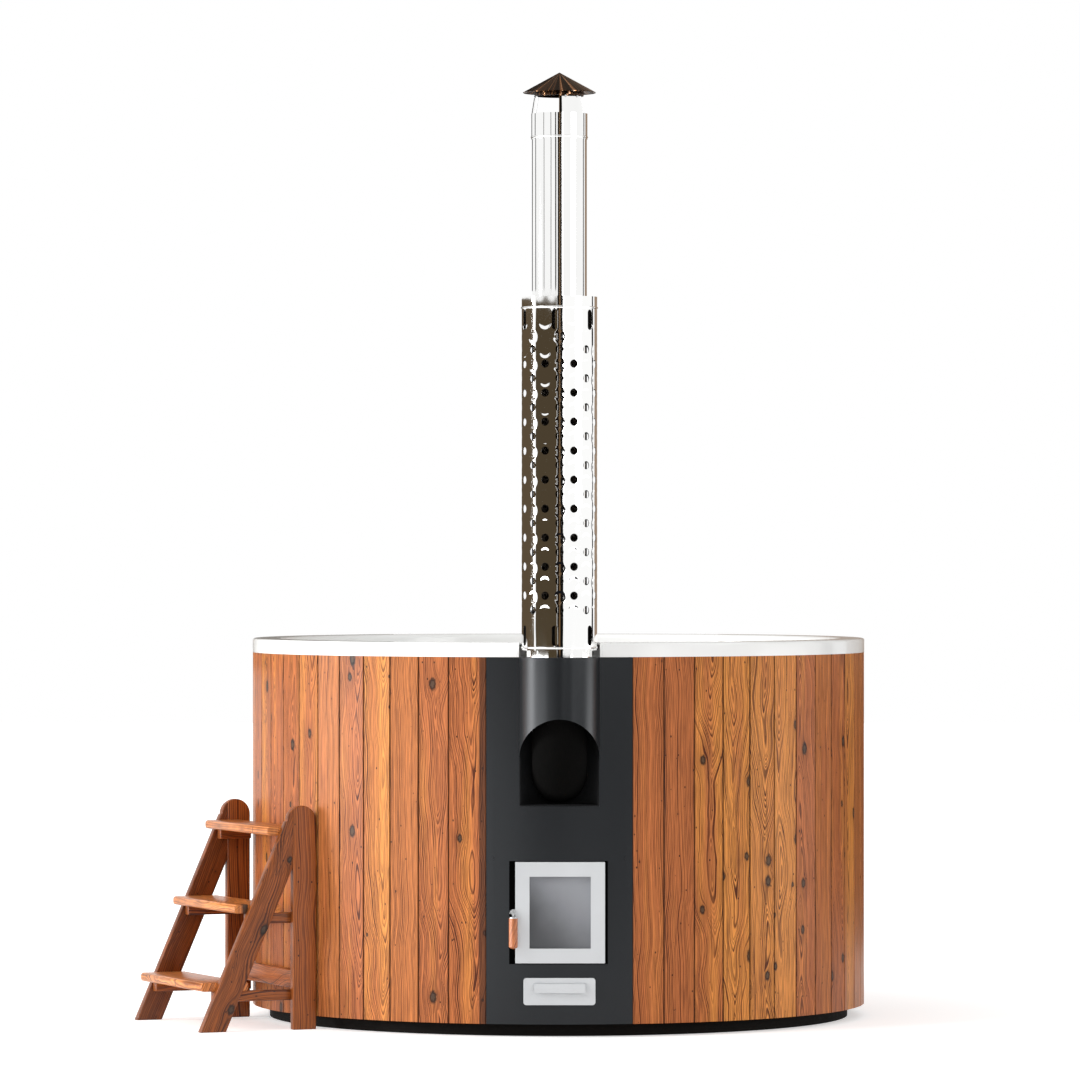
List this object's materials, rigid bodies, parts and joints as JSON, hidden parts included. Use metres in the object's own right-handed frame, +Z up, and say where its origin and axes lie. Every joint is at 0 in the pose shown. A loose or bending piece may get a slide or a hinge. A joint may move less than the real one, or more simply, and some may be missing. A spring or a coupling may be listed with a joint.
{
  "type": "wood-fired hot tub",
  "caption": "Round board-clad hot tub with a white moulded liner, built-in stove with glass door and ash drawer, polished flue with perforated shield, and free-standing steps.",
  "frame": {"origin": "centre of the tub on the ground, on the underside of the middle joist", "axes": "+Z up along the flue, -Y out through the stove door, +X to the right seen from the stove side"},
  "size_m": [2.1359, 1.982, 2.709],
  "materials": {
    "cladding_wood": "oiled heat-treated softwood",
    "step_wood": "stained softwood",
    "frame_wood": "sawn",
    "base_wood": "black stain",
    "liner_white": "glossy moulded shell",
    "panel_paint": "matt powder coat",
    "stove_paint": "heat-proof black",
    "grate_iron": "cast",
    "door_steel": "satin",
    "fitting_steel": "satin",
    "flue_chrome": "mirror polished",
    "stove_glass": "heat-proof glass",
    "rope_seal": "woven glass rope",
    "grip_wood": "turned and oiled",
    "foam": "rigid insulation",
    "plug_rubber": "matt",
    "valve_brass": "machined",
    "lever_paint": "dipped grip"
  },
  "bodies": {
    "tub": {"base_joists": "base_wood", "base_skirt": "base_wood", "base_deck": "frame_wood", "floor_slab": "foam", "cladding_rings": "frame_wood", "rim_bearer": "frame_wood", "frame_posts": "frame_wood", "panel_battens": "frame_wood", "boards_front_right": "cladding_wood", "boards_back_right": "cladding_wood", "boards_back_left": "cladding_wood", "boards_front_left": "cladding_wood", "liner": "liner_white", "liner_footwell": "liner_white", "liner_hump": "liner_white", "bench_bearer": "frame_wood", "bench_legs": "frame_wood", "front_panel": "panel_paint", "panel_screws": "fitting_steel", "flue_housing": "panel_paint", "door_surround": "stove_paint", "latch_keeper": "fitting_steel", "stove_legs": "stove_paint", "ash_chute": "stove_paint", "firebox": "stove_paint", "stove_face": "stove_paint", "hinge_pins": "fitting_steel", "grate": "grate_iron", "smoke_box": "stove_paint", "smoke_elbow": "stove_paint", "flue_pipe": "flue_chrome", "shield_collar": "flue_chrome", "heat_shield": "flue_chrome", "shield_spacers": "fitting_steel", "chimney_cowl": "flue_chrome", "rain_cap": "flue_chrome", "cap_rivets": "fitting_steel", "water_pipes": "fitting_steel", "port_flanges": "liner_white", "port_grilles": "fitting_steel", "drain_fitting": "fitting_steel", "drain_pipe": "fitting_steel", "drain_valve": "valve_brass"},
    "valve": {"valve_lever": "lever_paint"},
    "plug": {"drain_plug": "plug_rubber"},
    "door": {"door_frame": "door_steel", "door_glass": "stove_glass", "door_gasket": "rope_seal", "glass_clips": "fitting_steel", "clip_screws": "fitting_steel"},
    "handle": {"latch_spindle": "fitting_steel", "handle_arm": "fitting_steel", "handle_grip": "grip_wood"},
    "drawer": {"ash_drawer": "fitting_steel", "drawer_front": "door_steel"},
    "steps": {"step_posts": "step_wood", "step_stringers": "step_wood", "step_treads": "step_wood", "step_cleats": "step_wood", "step_rail": "step_wood"}
  },
  "joints": [
    {"name": "door_hinge", "type": "hinge", "parent": "tub", "child": "door", "pos_m": [0.12, -0.89, 0.351], "axis": [0, 0, 1], "range_deg": [0, 100]},
    {"name": "handle_turn", "type": "hinge", "parent": "door", "child": "handle", "pos_m": [-0.1295, -0.9, 0.353], "axis": [0, 1, 0], "range_deg": [0, 70]},
    {"name": "drawer_slide", "type": "slide", "parent": "tub", "child": "drawer", "axis": [0, -1, 0], "range_m": [0, 0.3]},
    {"name": "valve_turn", "type": "hinge", "parent": "tub", "child": "valve", "pos_m": [0.15, 0.924, 0.04], "axis": [0, 0, 1], "range_deg": [0, 90]},
    {"name": "plug_lift", "type": "slide", "parent": "tub", "child": "plug", "axis": [0, 0, 1], "range_m": [0, 0.04]},
    {"name": "steps_shift", "type": "slide", "parent": "tub", "child": "steps", "axis": [-0.9157, -0.4019, 0], "range_m": [0, 0.4]}
  ]
}
